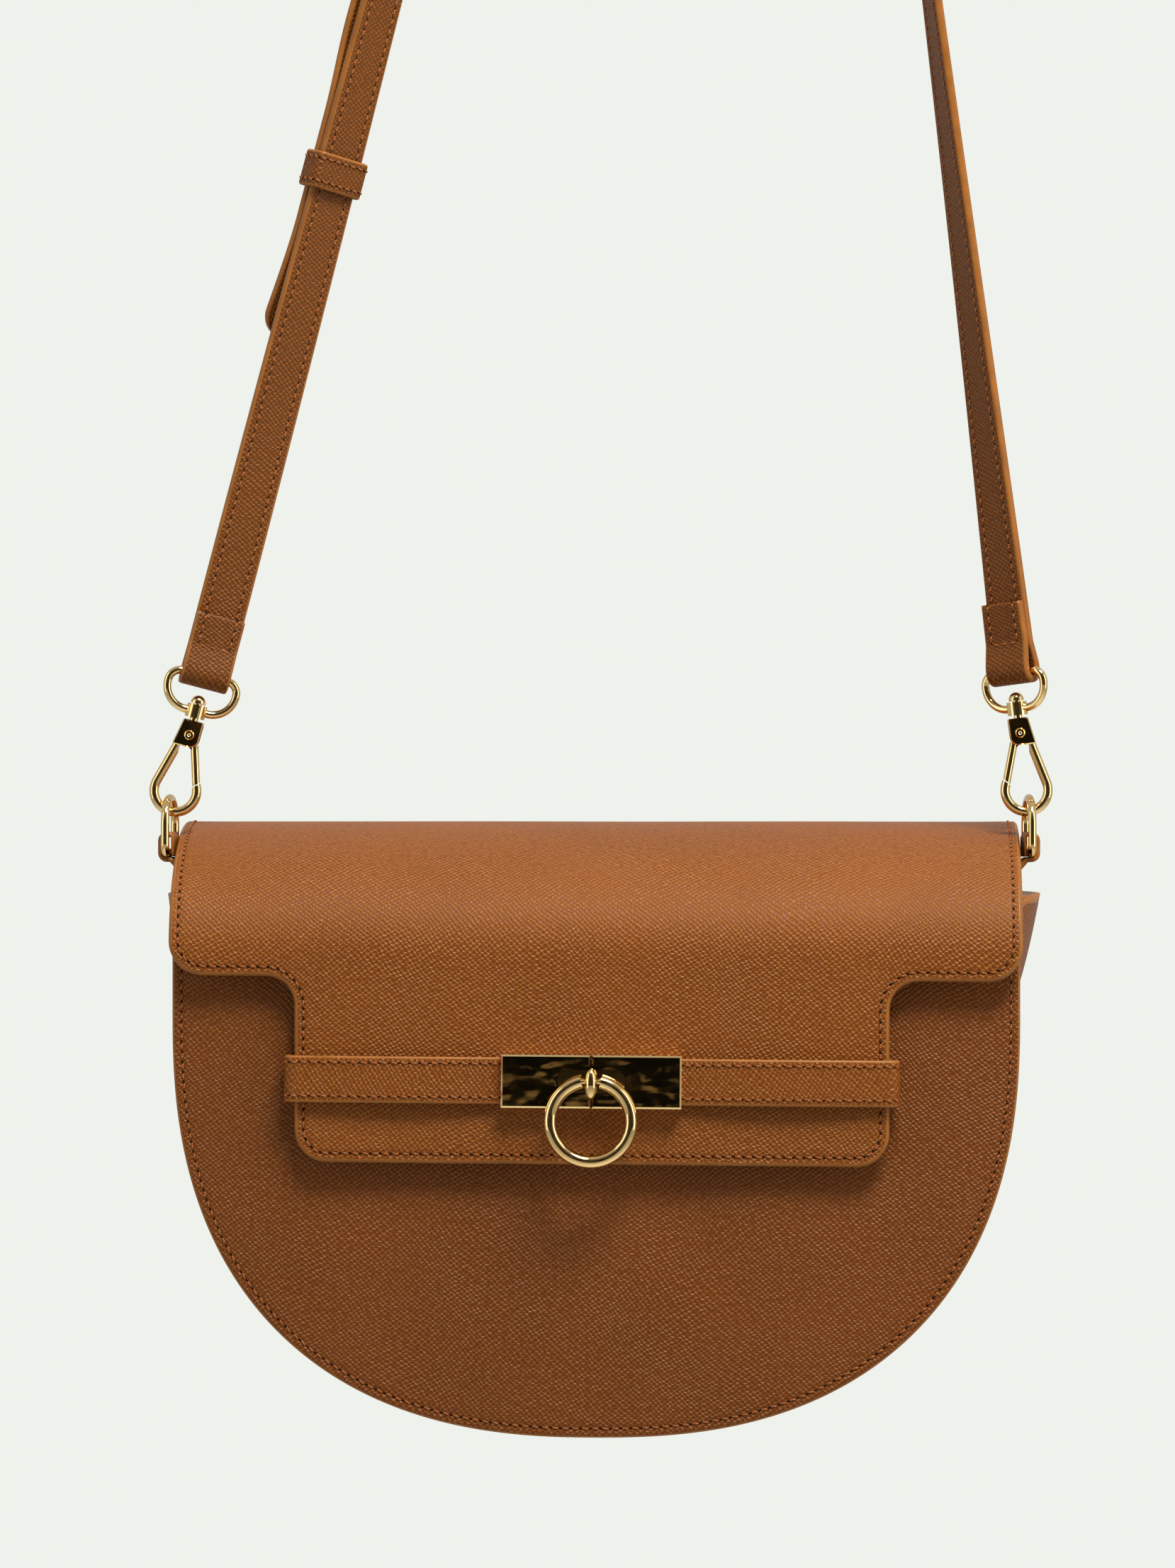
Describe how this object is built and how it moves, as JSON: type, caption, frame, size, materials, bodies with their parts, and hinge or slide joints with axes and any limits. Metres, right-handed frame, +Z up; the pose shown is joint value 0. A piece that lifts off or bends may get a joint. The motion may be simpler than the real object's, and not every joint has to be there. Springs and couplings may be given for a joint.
{
  "type": "sling bag",
  "caption": "Half-moon leather shoulder bag with a tongued flap, belt-style turn lock with a pull ring, and a buckled strap clipped to side D-rings by swivel hooks.",
  "frame": {"origin": "inner top of the strap's arch, where the peg or shoulder carries the bag", "axes": "+X to the bag's right as seen from the front, +Y to the back, +Z up"},
  "size_m": [0.2369, 0.076, 0.6904],
  "materials": {
    "leather": "cross-hatched embossed caramel leather with smooth painted edges",
    "lining": "plain woven lining",
    "board": "bag stiffening board",
    "gold": "polished pale gold plate",
    "steel": "nickel-plated steel"
  },
  "bodies": {
    "strap": {"strap_short": "leather", "strap_long": "leather", "buckle_frame": "gold"},
    "prong": {"buckle_prong": "gold"},
    "keeper": {"keeper": "leather"},
    "bag": {"front_panel": "leather", "front_board": "board", "front_lining": "lining", "back_panel": "leather", "back_board": "board", "back_lining": "lining", "gusset": "leather", "gusset_lining": "lining", "flap_root": "leather", "flap_top": "leather", "flap_top_lining": "lining", "side_tab_left": "leather", "side_tab_right": "leather", "snap_socket": "gold", "snap_washer": "steel"},
    "flap": {"flap": "leather", "flap_lining": "lining", "belt_left": "leather", "belt_right": "leather", "plate_left": "gold", "plate_right": "gold", "lock_base": "gold", "lock_rivets": "steel", "snap_stud": "gold"},
    "knob": {"lock_knob": "gold"},
    "pull_ring": {"pull_ring": "gold"},
    "d_ring_left": {"d_ring_left": "gold"},
    "eye_left": {"eye_left": "gold"},
    "hook_left": {"hook_left": "gold", "gate_rivet_left": "gold", "gate_spring_left": "steel"},
    "gate_left": {"gate_left": "gold"},
    "d_ring_right": {"d_ring_right": "gold"},
    "eye_right": {"eye_right": "gold"},
    "hook_right": {"hook_right": "gold", "gate_rivet_right": "gold", "gate_spring_right": "steel"},
    "gate_right": {"gate_right": "gold"}
  },
  "joints": [
    {"name": "bag_swing", "type": "hinge", "parent": "strap", "child": "bag", "pos_m": [-0.03687, 0, -0.52625], "axis": [1, 0, 0], "range_deg": [-20, 20]},
    {"name": "flap_open", "type": "hinge", "parent": "bag", "child": "flap", "pos_m": [-0.03687, -0.0065, -0.53525], "axis": [-1, 0, 0], "range_deg": [0, 110]},
    {"name": "knob_turn", "type": "hinge", "parent": "flap", "child": "knob", "pos_m": [-0.03777, -0.0382, -0.5962], "axis": [0, 1, 0], "range_deg": [0, 90]},
    {"name": "ring_swing", "type": "hinge", "parent": "knob", "child": "pull_ring", "pos_m": [-0.03777, -0.0382, -0.5957], "axis": [-1, 0, 0.008], "range_deg": [-3, 170]},
    {"name": "prong_hinge", "type": "hinge", "parent": "strap", "child": "prong", "pos_m": [-0.08045, 0, -0.26649], "axis": [-0.5592, -0.8156, 0.1488], "range_deg": [0, 5]},
    {"name": "keeper_slide", "type": "slide", "parent": "strap", "child": "keeper", "axis": [0.2571, 0, 0.9664], "range_m": [-0.008, 0.008]},
    {"name": "eye_tilt_left", "type": "hinge", "parent": "strap", "child": "eye_left", "pos_m": [-0.1401, 0, -0.49068], "axis": [0.953, 0.1736, -0.2482], "range_deg": [-1, 1]},
    {"name": "hook_swivel_left", "type": "hinge", "parent": "eye_left", "child": "hook_left", "pos_m": [-0.14937, 0, -0.52625], "axis": [0.2521, 0, 0.9677], "range_deg": [-20, 20]},
    {"name": "gate_open_left", "type": "hinge", "parent": "hook_left", "child": "gate_left", "pos_m": [-0.14415, 0, -0.50622], "axis": [0, 1, 0], "range_deg": [0, 28], "stiffness_Nm_per_rad": 0.02, "springref_deg": -20.05},
    {"name": "d_ring_tilt_left", "type": "hinge", "parent": "bag", "child": "d_ring_left", "pos_m": [-0.14937, 0, -0.53705], "axis": [0.1045, 0.9945, 0], "range_deg": [-1, 1]},
    {"name": "eye_tilt_right", "type": "hinge", "parent": "strap", "child": "eye_right", "pos_m": [0.07177, 0, -0.48973], "axis": [0.8038, -0.5878, 0.0916], "range_deg": [-1, 1]},
    {"name": "hook_swivel_right", "type": "hinge", "parent": "eye_right", "child": "hook_right", "pos_m": [0.07593, 0, -0.52625], "axis": [-0.1132, 0, 0.9936], "range_deg": [-20, 20]},
    {"name": "gate_open_right", "type": "hinge", "parent": "hook_right", "child": "gate_right", "pos_m": [0.07359, 0, -0.50568], "axis": [0, -1, 0], "range_deg": [0, 28], "stiffness_Nm_per_rad": 0.02, "springref_deg": -20.05},
    {"name": "d_ring_tilt_right", "type": "hinge", "parent": "bag", "child": "d_ring_right", "pos_m": [0.07593, 0, -0.53705], "axis": [-0.0958, 0.9954, 0], "range_deg": [-1, 1]}
  ]
}
